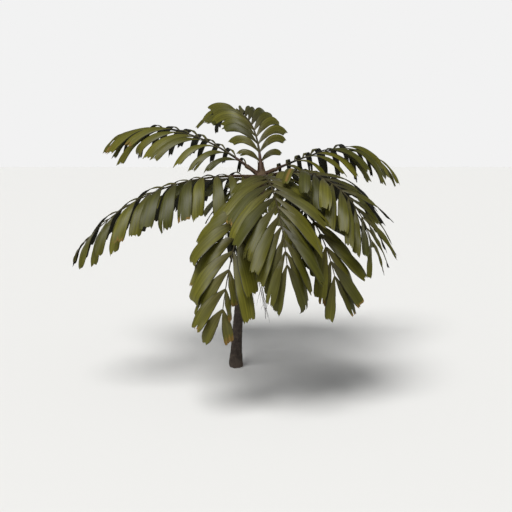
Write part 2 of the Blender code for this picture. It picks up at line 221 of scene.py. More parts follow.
@dataclass(frozen=True)
class LeafBlade:
    """Upper face of a palm leaflet: waxy, leathery, with long parallel veins.

    It gives the eye pleats that run the length of the leaflet and a soft, broken shine. The UV map
    is in metres, across the blade and along it from its root. Real veins stand 3 mm apart; they
    are drawn 9 mm wide so that they show, with finer fibres of 2.5 mm between them. The blade is
    greyer and duller near its root, partly its waxy bloom and partly a painted sheen of the sky,
    and yellower towards its end.
    """

    name: str
    root: str
    body: str
    end: str
    roughness: float = 0.44
    gloss: float = 0.30
    length: float = 0.48
    vein: tuple = (0.009, 0.6, 1.0)
    fibre: tuple = (0.0025, 0.15, 1.0)
    relief: float = 0.0012

    def build(self) -> bpy.types.Material:
        """Builds the material.

        Returns:
            The finished material.
        """
        material, tree, shader = new_material(self.name)
        place = add_node(tree, "UVMap", {"uv_map": "blade"})
        solid = add_node(tree, "TexCoord")
        parts = add_node(tree, "SeparateXYZ", None, None, {0: (place, 0)})
        along = add_node(tree, "MapRange", None, {"From Max": self.length}, {"Value": (parts, 1)})
        # The root stop is greyer and duller, partly the blade's waxy bloom and partly a painted
        # sheen of the sky.
        tone = add_node(tree, "ValToRGB", None, None, {"Fac": (along, 0)},
                        ((0.10, self.root), (0.50, self.body), (0.95, self.end)))
        vein = add_grain(tree, (place, 0), self.vein, 1.0)
        fibre = add_grain(tree, (place, 0), self.fibre, 3.0)
        cloud = add_node(tree, "TexNoise", None, {"Scale": 7.0, "Detail": 1.0},
                         {"Vector": (solid, "Object")})
        # Each pattern lightens and darkens the tone by its own share.
        level = None
        for source, low, high in ((vein, 0.76, 1.24), (fibre, 0.86, 1.14), (cloud, 0.90, 1.10)):
            share = add_node(tree, "MapRange", None,
                             {"From Min": 0.28, "From Max": 0.72, "To Min": low, "To Max": high},
                             {"Value": (source, 0)})
            if level is not None:
                share = add_node(tree, "Math", {"operation": "MULTIPLY"}, None,
                                 {0: (level, 0), 1: (share, 0)})
            level = share
        colour = add_node(tree, "VectorMath", {"operation": "SCALE"}, None,
                          {0: (tone, 0), "Scale": (level, 0)})
        shine = add_node(tree, "MapRange", None,
                         {"To Min": self.roughness - 0.08, "To Max": self.roughness + 0.10},
                         {"Value": (vein, 0)})
        height = add_node(tree, "Math", {"operation": "MULTIPLY_ADD"}, {1: 0.4},
                          {0: (fibre, 0), 2: (vein, 0)})
        relief = add_node(tree, "Bump", None, {"Strength": 0.5, "Distance": self.relief},
                          {"Height": (height, 0)})
        set_inputs(tree, shader, {"IOR": 1.45, "Specular IOR Level": self.gloss},
                   {"Base Color": (colour, 0), "Roughness": (shine, 0), "Normal": (relief, 0)})
        return material


@dataclass(frozen=True)
class MatFibre:
    """A matt plant surface of long fibres: leaf underside, dry leaf, dry stalk or leaf sheath.

    It gives the eye a dull, threaded skin beside the waxy blades. Fibres are `fibre` metres wide
    and run along the second UV direction for 30 times that.
    """

    name: str
    dark: str
    light: str
    fibre: float = 0.002
    roughness: float = 0.8
    bump: float = 0.0005

    def build(self) -> bpy.types.Material:
        """Builds the material.

        Returns:
            The finished material.
        """
        material, tree, shader = new_material(self.name)
        place = add_node(tree, "UVMap", {"uv_map": "blade"})
        grain = add_grain(tree, (place, 0), (self.fibre, 30 * self.fibre, 1.0), 4.0)
        tone = add_node(tree, "ValToRGB", None, None, {"Fac": (grain, 0)},
                        ((0.32, self.dark), (0.68, self.light)))
        relief = add_node(tree, "Bump", None, {"Strength": 0.6, "Distance": self.bump},
                          {"Height": (grain, 0)})
        set_inputs(tree, shader,
                   {"Roughness": self.roughness, "IOR": 1.4, "Specular IOR Level": 0.25},
                   {"Base Color": (tone, 0), "Normal": (relief, 0)})
        return material


@dataclass(frozen=True)
class RingedBark:
    """Palm bark: a dry corky skin with a raised leaf scar every 25 to 50 mm and fine cracks.

    It gives the eye a dark, rough stem with paler rings. The mesh carries the rings and, as the
    attribute "groove", how far each point stands out, which the colour follows: paler on the scar
    rings and towards the foot, and lighter on the bumps and darker in the hollows of the relief,
    a painted light and shade. Cracks are 4 mm apart and 16 mm long.
    """

    name: str = "ringed_palm_bark"
    deep: str = "1c1815"
    body: str = "38302a"
    worn: str = "544a40"
    crack: tuple = (0.004, 0.004, 0.016)
    relief: float = 0.0012

    def build(self) -> bpy.types.Material:
        """Builds the material.

        Returns:
            The finished material.
        """
        material, tree, shader = new_material(self.name)
        solid = add_node(tree, "TexCoord")
        tone_and_hollow_shade = add_node(tree, "Attribute", {"attribute_name": "groove"})
        crack = add_grain(tree, (solid, "Object"), self.crack, 5.0)
        patch = add_node(tree, "TexNoise", None, {"Scale": 22.0, "Detail": 3.0},
                         {"Vector": (solid, "Object")})
        mixed = add_node(tree, "Math", {"operation": "MULTIPLY_ADD"}, {1: 0.55},
                         {0: (crack, 0), 2: (tone_and_hollow_shade, "Fac")})
        level = add_node(tree, "Math", {"operation": "MULTIPLY_ADD"}, {1: 0.35},
                         {0: (patch, 0), 2: (mixed, 0)})
        # Low tones take the deep colour: cracks, and the painted shade in the hollows.
        tone = add_node(tree, "ValToRGB", None, None, {"Fac": (level, 0)},
                        ((0.42, self.deep), (0.74, self.body), (1.0, self.worn)))
        relief = add_node(tree, "Bump", None, {"Strength": 0.5, "Distance": self.relief},
                          {"Height": (crack, 0)})
        set_inputs(tree, shader, {"Roughness": 0.9, "IOR": 1.4},
                   {"Base Color": (tone, 0), "Normal": (relief, 0)})
        return material


@dataclass(frozen=True)
class StudioFloor:
    """Matt floor paint: plain and pale, so the eye gets the tree's soft shadow and nothing else."""

    name: str = "studio_floor_paint"
    colour: str = "e6e5e2"

    def build(self) -> bpy.types.Material:
        """Builds the material.

        Returns:
            The finished material.
        """
        material, tree, shader = new_material(self.name)
        set_inputs(tree, shader, {"Base Color": linear(self.colour), "Roughness": 0.9})
        return material


class Skin(Enum):
    """The finishes of a frond, in the order of its material slots."""

    OLIVE = 0
    FRESH = 1
    SHADED = 2
    # Near-black underside: the duller underside, darkened further as painted shade.
    UNDERSIDE_SHADE = 3
    DRY = 4
    RIB = 5
    PETIOLE = 6
    FADED = 7
    # Dark edge columns: mostly painted shade between overlapping leaflets, partly their darker
    # edges.
    MARGIN_SHADE = 8


@dataclass
class Finishes:
    """Every finish of the tree, built once and shared."""

    frond: list[bpy.types.Material] = field(default_factory=list)
    bark: bpy.types.Material | None = None
    sheath: bpy.types.Material | None = None
    stalk: bpy.types.Material | None = None

    def build(self) -> None:
        """Builds the materials."""
        # Three greens set leaflet against leaflet, as age and shade do. The near-black underside,
        # also on the cut edges, is partly the duller underside and mostly painted shade, so gaps
        # read as depth; the dark margin is mostly painted shade between overlapping leaflets,
        # partly their darker edges. Dry and fading ends are worn.
        self.frond = [
            LeafBlade("olive_leaf_blade", "433f1e", "4c4b15", "545114").build(),
            LeafBlade("fresh_leaf_blade", "4a4520", "575519", "5f5c18").build(),
            LeafBlade("shaded_leaf_blade", "37341a", "404011", "464611").build(),
            # Near-black underside, mostly painted shade; it also lies on the cut edges as thin
            # painted shadow lines.
            MatFibre("leaf_underside_shade", "131309", "24220f", 0.0018, 0.7, 0.0003).build(),
            MatFibre("dry_leaf_end", "5e4a20", "866c38", 0.004, 0.75, 0.0004).build(),
            MatFibre("leaf_rib_skin", "2a2415", "463f24", 0.0015, 0.55, 0.0002).build(),
            MatFibre("petiole_skin", "2b1f18", "5a4334", 0.003, 0.55, 0.0005).build(),
            MatFibre("fading_leaf", "564d18", "6d6426", 0.004, 0.65, 0.0004).build(),
            # Dark margin columns, mostly painted shade between overlapping leaflets.
            LeafBlade("leaf_margin_shade", "2a2613", "302d0f", "35320f").build(),
        ]
        # Rough brown against the green: the stem, the torn plates of the heart, the dead stalks.
        self.bark = RingedBark().build()
        self.sheath = MatFibre("fibrous_leaf_sheath", "33271d", "75624b", 0.0022, 0.85,
                               0.001).build()
        self.stalk = MatFibre("dry_flower_stalk", "16100b", "3a2c1f", 0.0015, 0.9,
                              0.0005).build()


# ------------------------------------------------------------------ shape rules
def trunk_centre(z: float) -> Vector:
    """Trunk axis at a height, leaning more and more towards +X."""
    return Vector((HEART_OFFSET * (max(z, 0.0) / HEART_HEIGHT) ** LEAN_POWER, 0.0, z))


def between(stops: tuple, place: float) -> float:
    """Value at a place, in a straight line between stops.

    Args:
        stops: Pairs of a place and its value, in order.
        place: The place.

    Returns:
        The value there, or that of the nearest stop when the place is outside them.
    """
    for (x0, y0), (x1, y1) in zip(stops, stops[1:]):
        if place <= x1:
            return y0 + (y1 - y0) * max(0.0, (place - x0) / (x1 - x0))
    return stops[-1][1]


def trunk_radius(z: float) -> float:
    """Trunk radius at a height, in metres."""
    return between(TRUNK_PROFILE, z)


def aim(elevation: float, azimuth: float) -> Vector:
    """Unit direction of an elevation and an azimuth.

    Args:
        elevation: Angle above level in degrees.
        azimuth: Angle from +X in degrees.

    Returns:
        The direction.
    """
    e = math.radians(elevation)
    a = math.radians(azimuth)
    return Vector((math.cos(e) * math.cos(a), math.cos(e) * math.sin(a), math.sin(e)))


def square_frame(tangent: Vector, roll: float = 0.0) -> tuple[Vector, Vector]:
    """Side and up directions square to a rib's tangent.

    Args:
        tangent: Direction of the rib.
        roll: Turn about the rib in degrees.

    Returns:
        Side and up directions.
    """
    side = tangent.cross(Vector((0, 0, 1))).normalized()
    up = side.cross(tangent)
    c = math.cos(math.radians(roll))
    s = math.sin(math.radians(roll))
    return side * c + up * s, up * c - side * s


def bulge(u: float, first: float, last: float, peak: float = 0.38) -> float:
    """Share of the full size along the rib, one at the peak.

    Args:
        u: Place along the rib, 0 at the first leaflet and 1 at the last.
        first: Share at the first leaflet.
        last: Share at the last leaflet.
        peak: Place of the largest.

    Returns:
        The share.
    """
    if u < peak:
        return 1 - (1 - first) * (1 - u / peak) ** 2
    return 1 - (1 - last) * ((u - peak) / (1 - peak)) ** 2


def rib_half_sizes(s: float) -> tuple[float, float]:
    """Half width and half height of a frond's rib.

    Args:
        s: Share of the rib's length.

    Returns:
        Half width and half height in metres.
    """
    k = max(s, 0.0) ** RIB_TAPER
    return ((RIB_WIDTH[0] + (RIB_WIDTH[1] - RIB_WIDTH[0]) * k) / 2,
            (RIB_HEIGHT[0] + (RIB_HEIGHT[1] - RIB_HEIGHT[0]) * k) / 2)


@dataclass
class Limb:
    """Bend of one limb: where it leaves the trunk and how it arches, in metres and degrees."""

    name: str
    height: float
    azimuth: float
    rise: float
    droop: float
    length: float
    sweep: float = 0.0
    bend: float = BEND_POWER
    half_width: float = 0.012
    half_height: float = 0.013
    first_reach: float = 0.03
    reach_step: float = 0.0002
    points: list = field(default_factory=list)
    tangents: list = field(default_factory=list)

    def __post_init__(self) -> None:
        """Works out the centre line."""
        self.points = [self.root()]
        for i in range(RIB_STEPS):
            m = (i + 0.5) / RIB_STEPS
            way = aim(self.rise - self.droop * m ** self.bend, self.azimuth + self.sweep * m)
            self.tangents.append(way)
            self.points.append(self.points[-1] + way * self.length / RIB_STEPS)

    def root(self) -> Vector:
        """Finds the middle of the limb's foot, moved out until its corners clear the trunk.

        Returns:
            The middle.
        """
        tangent = aim(self.rise, self.azimuth)
        side, up = square_frame(tangent)
        outward = aim(0, self.azimuth)
        reach = self.first_reach
        while True:
            foot = trunk_centre(self.height) + outward * reach
            nearest = 1.0
            for a in (-1, 0, 1):
                for b in (-1, 0, 1):
                    corner = foot + side * a * self.half_width + up * b * self.half_height
                    axis = trunk_centre(corner.z)
                    away = math.hypot(corner.x - axis.x, corner.y - axis.y)
                    nearest = min(nearest, away - trunk_radius(corner.z))
            if nearest >= FIT_GAP:
                return foot
            reach += self.reach_step

    def at(self, s: float) -> tuple[Vector, Vector]:
        """Point and direction on the centre line.

        Args:
            s: Share of the length.

        Returns:
            Point and unit direction.
        """
        x = min(max(s, 0.0), 1.0) * RIB_STEPS
        i = min(int(x), RIB_STEPS - 1)
        point = self.points[i].lerp(self.points[i + 1], x - i)
        j = min(i + 1, RIB_STEPS - 1)
        return point, self.tangents[i].lerp(self.tangents[j], x - i).normalized()


class Blade:
    """Centre line of one leaflet or strand, arching out and falling, with its width direction."""

    CURL_FROM = 0.8
    CURL_SPAN = 0.2
    CURL_POWER = 1.2

    def __init__(self, point: Vector, tangent: Vector, sides: tuple[Vector, Vector], sign: int,
                 spread: float, lift: float, fall: float, turn: float, length: float,
                 width: float, steps: int = 8, twist: float = 0.0, curl: float = 0.0) -> None:
        """Works out the line.

        Args:
            point: Root on the rib's centre line.
            tangent: Direction of the rib there.
            sides: Side and up directions of the rib.
            sign: 1 for the side direction, -1 for the other side.
            spread: Angle off the rib in degrees.
            lift: Angle above the rib's plane in degrees.
            fall: How strongly it bends down.
            turn: Tilt of the blade about its own axis in degrees.
            length: Length in metres.
            width: Full width in metres.
            steps: Straight steps in the line.
            twist: Extra tilt at the tip in degrees.
            curl: How far the last fifth rolls under, in degrees at the tip.
        """
        self.length = length
        self.width = width
        self.steps = steps
        side, up = sides
        a = math.radians(spread)
        b = math.radians(lift)
        start = tangent * math.cos(a)
        start += (side * sign * math.cos(b) + up * math.sin(b)) * math.sin(a)
        self.points = [point.copy()]
        self.across = []
        self.normals = []
        for i in range(steps):
            t = (i + 0.5) / steps
            way = (start - Vector((0, 0, fall * t ** FALL_POWER))).normalized()
            wide = (tangent - way * tangent.dot(way)).normalized()
            top = way.cross(wide) * sign
            c = math.cos(math.radians(turn + twist * t * t))
            s = math.sin(math.radians(turn + twist * t * t))
            normal = top * c - wide * s
            rolled_by = max(0.0, (t - self.CURL_FROM) / self.CURL_SPAN) ** self.CURL_POWER
            bend = math.radians(curl) * rolled_by
            rolled = way * math.cos(bend) - normal * math.sin(bend)
            self.points.append(self.points[-1] + rolled * length / steps)
            self.across.append(wide * c + top * s)
            self.normals.append(normal * math.cos(bend) + way * math.sin(bend))

    def at(self, t: float) -> tuple[Vector, Vector, Vector]:
        """Place and directions on the blade.

        Args:
            t: Share of the length.

        Returns:
            Centre, width direction and upper-face direction.
        """
        x = min(max(t, 0.0), 1.0) * self.steps
        i = min(int(x), self.steps - 1)
        point = self.points[i].lerp(self.points[i + 1], x - i)
        # Directions belong to the middles of the steps; the last pair is never passed.
        k = min(max(x - 0.5, 0.0), self.steps - 1.001)
        j = int(k)
        wide = self.across[j].lerp(self.across[j + 1], k - j).normalized()
        top = self.normals[j].lerp(self.normals[j + 1], k - j).normalized()
        return point, wide, top

    def stands_in(self, solid: BVHTree, places: tuple) -> bool:
        """Tells whether the solid has this very blade, by its corners.

        Args:
            solid: Search tree of the solid.
            places: Pairs of a share of the length and the share of the width there.

        Returns:
            True when every corner lies on the solid's surface.
        """
        for t, share in places:
            centre, wide, top = self.at(t)
            for edge in (-1, 1):
                corner = centre + wide * edge * self.width * share / 2 + top * BLADE_THICKNESS / 2
                if solid.find_nearest(corner)[3] > SAME_PLACE:
                    return False
        return True


# ------------------------------------------------------------------ mesh helpers
@dataclass
class Sheaf:
    """Many small closed shapes gathered into one mesh, with a UV in metres and face finishes."""

    verts: list = field(default_factory=list)
    faces: list = field(default_factory=list)
    skins: list = field(default_factory=list)
    uvs: list = field(default_factory=list)

    def shell(self, points: list, normals: list, places: list, quads: list, skins: list,
              under: int, thickness: float) -> None:
        """Adds a thin closed shell over a sheet of faces.

        Args:
            points: Points of the sheet.
            normals: Upper direction at each point.
            places: UV place of each point, in metres.
            quads: Faces of the sheet, counter-clockwise from above.
            skins: Finish of each face above.
            under: Finish of the faces below and of the edges.
            thickness: Thickness in metres.
        """
        base = len(self.verts)
        count = len(points)
        self.verts += [p + n * thickness / 2 for p, n in zip(points, normals)]
        self.verts += [p - n * thickness / 2 for p, n in zip(points, normals)]
        edges = {}
        for quad, skin in zip(quads, skins):
            self.faces.append([base + i for i in quad])
            self.skins.append(skin)
            self.uvs += [places[i] for i in quad]
            self.faces.append([base + count + i for i in reversed(quad)])
            self.skins.append(skin if skin == Skin.DRY.value else under)
            self.uvs += [places[i] for i in reversed(quad)]
            for a, b in zip(quad, quad[1:] + quad[:1]):
                if (b, a) in edges:
                    del edges[(b, a)]
                else:
                    edges[(a, b)] = skin
        for (a, b), skin in edges.items():
            self.faces.append([base + b, base + a, base + count + a, base + count + b])
            self.skins.append(skin if skin == Skin.DRY.value else under)
            self.uvs += [places[b], places[a], places[a], places[b]]

    def tube(self, rings: list, skins: list, girth: float, stations: list) -> None:
        """Adds a closed tube through rings of points.

        Args:
            rings: Rings, each a list of points counter-clockwise seen from the tube's end.
            skins: Finish of each stretch between two rings.
            girth: Distance round the tube in metres, for the UV.
            stations: Distance along the tube of each ring, for the UV.
        """
        base = len(self.verts)
        sides = len(rings[0])
        for ring in rings:
            self.verts += ring
        for k in range(len(rings) - 1):
            for i in range(sides):
                j = (i + 1) % sides
                self.faces.append([base + k * sides + i, base + k * sides + j,
                                   base + (k + 1) * sides + j, base + (k + 1) * sides + i])
                self.skins.append(skins[k])
                x0 = girth * i / sides
                x1 = girth * (i + 1) / sides
                self.uvs += [(x0, stations[k]), (x1, stations[k]),
                             (x1, stations[k + 1]), (x0, stations[k + 1])]
        first = [base + i for i in reversed(range(sides))]
        last = [base + (len(rings) - 1) * sides + i for i in range(sides)]
        for cap, skin, s in ((first, skins[0], stations[0]), (last, skins[-1], stations[-1])):
            self.faces.append(cap)
            self.skins.append(skin)
            self.uvs += [(0.0, s)] * sides

    def piece(self, name: str, materials: list) -> bpy.types.Object:
        """Turns the sheaf into an object.

        Args:
            name: Object name.
            materials: Materials by finish number.

        Returns:
            The object, at the origin.
        """
        mesh = bpy.data.meshes.new(name)
        mesh.from_pydata(self.verts, [], self.faces)
        layer = mesh.uv_layers.new(name="blade")
        layer.data.foreach_set("uv", [c for uv in self.uvs for c in uv])
        used = sorted(set(self.skins))
        for index in used:
            mesh.materials.append(materials[index])
        slots = {index: i for i, index in enumerate(used)}
        mesh.polygons.foreach_set("material_index", [slots[s] for s in self.skins])
        mesh.polygons.foreach_set("use_smooth", [True] * len(self.faces))
        mesh.set_sharp_from_angle(angle=CREASE)
        mesh.update()
        piece = bpy.data.objects.new(name, mesh)
        bpy.context.scene.collection.objects.link(piece)
        return piece


# A channelled rib is hollowed above this share of its half height.
CHANNEL_FROM = 0.4


def round_ring(centre: Vector, side: Vector, up: Vector, a: float, b: float,
               sides: int, channel: float = 0.0) -> list[Vector]:
    """Oval ring round a point.

    Args:
        centre: Middle of the ring.
        side: Side direction.
        up: Up direction.
        a: Half width.
        b: Half height.
        sides: Number of points.
        channel: Depth of the groove along the top, as a share of the half height.

    Returns:
        The points, counter-clockwise seen against the side-up normal.
    """
    ring = []
    for i in range(sides):
        angle = 2 * math.pi * i / sides
        x = math.cos(angle)
        y = math.sin(angle)
        if y > CHANNEL_FROM:
            y -= channel * (1 - abs(x))
        ring.append(centre - side * x * a + up * y * b)
    return ring


# ------------------------------------------------------------------ fronds
# Rib: rings along it and inside the heart, the clasping foot as shares of the rib's size, the
# knots along it, and its section, a little slimmer than the solid's.
RIB_RINGS = 64
RINGS_INSIDE = 3
CLASP_END = 0.28
CLASP_POWER = 1.5
CLASP_WIDER = 0.75
CLASP_HIGHER = 0.35
KNOT_SIZE = 0.05
KNOT_SPACING = 2.4
RIB_SNUG = 0.97
RIB_SIDES = 10
RIB_CHANNEL = 0.35
RIB_GIRTH = 0.06
# Outline of a leaflet as (share of the length, share of the width), before its end.
OUTLINE = ((0.0, 0.13), (0.08, 0.27), (0.26, 0.62), (0.42, 0.86), (0.58, 0.99), (0.74, 1.03),
           (0.87, 0.97))
# End of a leaflet, in shares of its length except for the width: it slants, rounds off at its
# corners and is bitten into teeth.
END_WIDTH = (0.45, 0.85)
END_PLACE = 0.965
END_SLANT = (0.005, 0.060)
END_MIDDLE = 0.4
END_ROUND = 0.025
END_ROUND_POWER = 1.5
END_CORNER = 0.03
TOOTH = (-0.018, 0.016)
TOOTH_STEP = 0.006
# One leaflet in five is split, well inside its edges, from here on and this wide at its end. The
# two sides stand apart and at different heights by shares of that width.
SPLITS = (0, 0, 0, 0, 1)
SPLIT_INSIDE = 3
SPLIT_FROM = (0.76, 0.94)
SPLIT_WIDTH = 0.008
SPLIT_APART = 0.6
SPLIT_DOWN = 0.5
# Relief of a blade in metres: pleats, and ripples that grow towards its edges. Both fade in from
# the root. Ripples turn with the length and across, and start anywhere in a full turn. The fold
# bends the edges down, as a share of the half width.
PLEAT = 0.0009
PLEAT_GROWS = 4
RIPPLE = 0.0026
RIPPLE_GROWS = 3
RIPPLE_ALONG = 15
RIPPLE_ACROSS = 1.5
WAVE = 6.3
FOLD = (0.05, 0.17)
FOLD_POWER = 1.7
# The columns beside the edge stand further out, which makes the dark margin, painted shade between
# overlapping leaflets, thin.
MARGIN_OUT = 1.10
# Rows stand closer towards the end.
ROW_POWER = 0.92
# A leaflet starts inside the rib, at this share of the rib's half width.
ROOT_INSIDE = 0.8
# Twist at the tip, and how far a curled end rolls under, in degrees.
TWIST = 18
CURL = (30, 100)
# Dry ends: the share of leaflets that have one by chance, where it starts, and how far the brown
# follows the teeth. The fading part lies before it. A start above one is a green leaflet.
DRY_CHANCE = 0.09
DRY_FROM = (0.965, 0.985)
GREEN = 1.1
DRY_BITE = 0.035
DRY_TOOTH = 0.014
FADING = 0.07
NO_FADING_FROM = 0.95
# A dry streak: its share of the length, and its half width and that of its core in columns.
STREAK = (0.2, 0.97)
STREAK_HALF = 3
STREAK_CORE = 2
# Leaflets grow slimmer from this share of the pairs on.
SLIM_FROM = 0.4
SLIM_SPAN = 0.6


class LeafCut:
    """How one leaflet came out: its outline, end, teeth, split, fold, ripples and green."""

    def __init__(self, columns: int, fresh: float, shaded: float, looks: random.Random) -> None:
        """Draws the details.

        Args:
            columns: Columns of faces across the leaflet.
            fresh: Share of leaflets with a fresh green blade.
            shaded: Share of leaflets with a shaded blade.
            looks: Random source.
        """
        self.columns = columns
        self.outline = (*OUTLINE, (1.0, looks.uniform(*END_WIDTH)))
        self.slant = looks.uniform(*END_SLANT)
        self.teeth = [looks.uniform(*TOOTH) + (TOOTH_STEP if j % 2 else -TOOTH_STEP)
                      for j in range(columns + 1)]
        self.splits = {}
        for _ in range(looks.choice(SPLITS)):
            start = looks.uniform(*SPLIT_FROM)
            self.splits[looks.randrange(SPLIT_INSIDE, columns - SPLIT_INSIDE + 1)] = start
        self.wave = looks.uniform(0, WAVE)
        self.fold = looks.uniform(*FOLD)
        chance = looks.random()
        self.green = Skin.OLIVE
        if chance < fresh:
            self.green = Skin.FRESH
        elif chance < fresh + shaded:
            self.green = Skin.SHADED

    def line(self, j: int) -> tuple[float, float]:
        """Place across the blade of a line between columns, and its end.

        Args:
            j: Number of the line.

        Returns:
            Place from -1 to 1, and the share of the length where it ends.
        """
        x = -1 + 2 * j / self.columns
        if j in (1, self.columns - 1):
            x *= MARGIN_OUT
        end = END_PLACE + self.slant * (x - END_MIDDLE)
        end = end - END_ROUND * (1 - abs(x)) ** END_ROUND_POWER + self.teeth[j]
        if j in (0, self.columns):
            end -= END_CORNER
        return x, end

    def lift(self, j: int, x: float, t: float, half: float) -> float:
        """Height of a point over the flat blade.

        Args:
            j: Number of its line.
            x: Place across the blade from -1 to 1.
            t: Share of the length.
            half: Half width there in metres.

        Returns:
            The height in metres.
        """
        pleat = (PLEAT if j % 2 else -PLEAT) * min(1.0, t * PLEAT_GROWS)
        ripple = math.sin(self.wave + t * RIPPLE_ALONG + x * RIPPLE_ACROSS)
        ripple = RIPPLE * x * x * ripple * min(1.0, t * RIPPLE_GROWS)
        return pleat - self.fold * half * abs(x) ** FOLD_POWER + ripple

    def gap(self, j: int, f: float) -> float:
        """Width of the split on a line.

        Args:
            j: Number of the line.
            f: Share of the rows.

        Returns:
            The width in metres, nought where the blade is whole.
        """
        if j in self.splits and f > self.splits[j]:
            return SPLIT_WIDTH * (f - self.splits[j]) / (1 - self.splits[j])
        return 0.0

    def skin(self, column: int, f: float, dry_from: float, streak: bool) -> Skin:
        """Finish of a face.

        Args:
            column: Column of the face.
            f: Share of the rows.
            dry_from: Share of the length from which the leaflet is dry.
            streak: True when a dry streak runs along its middle.

        Returns:
            The finish.
        """
        brown = dry_from + DRY_BITE * self.teeth[column] / DRY_TOOTH
        if f > brown:
            return Skin.DRY
        if f > brown - FADING and dry_from < NO_FADING_FROM:
            return Skin.FADED
        off_middle = abs(column - self.columns // 2)
        if streak and off_middle < STREAK_HALF and STREAK[0] < f < STREAK[1]:
            return Skin.DRY if off_middle < STREAK_CORE else Skin.FADED
        # The outer columns are darkened, mostly as painted shade between overlapping leaflets.
        return Skin.MARGIN_SHADE if column in (0, self.columns - 1) else self.green


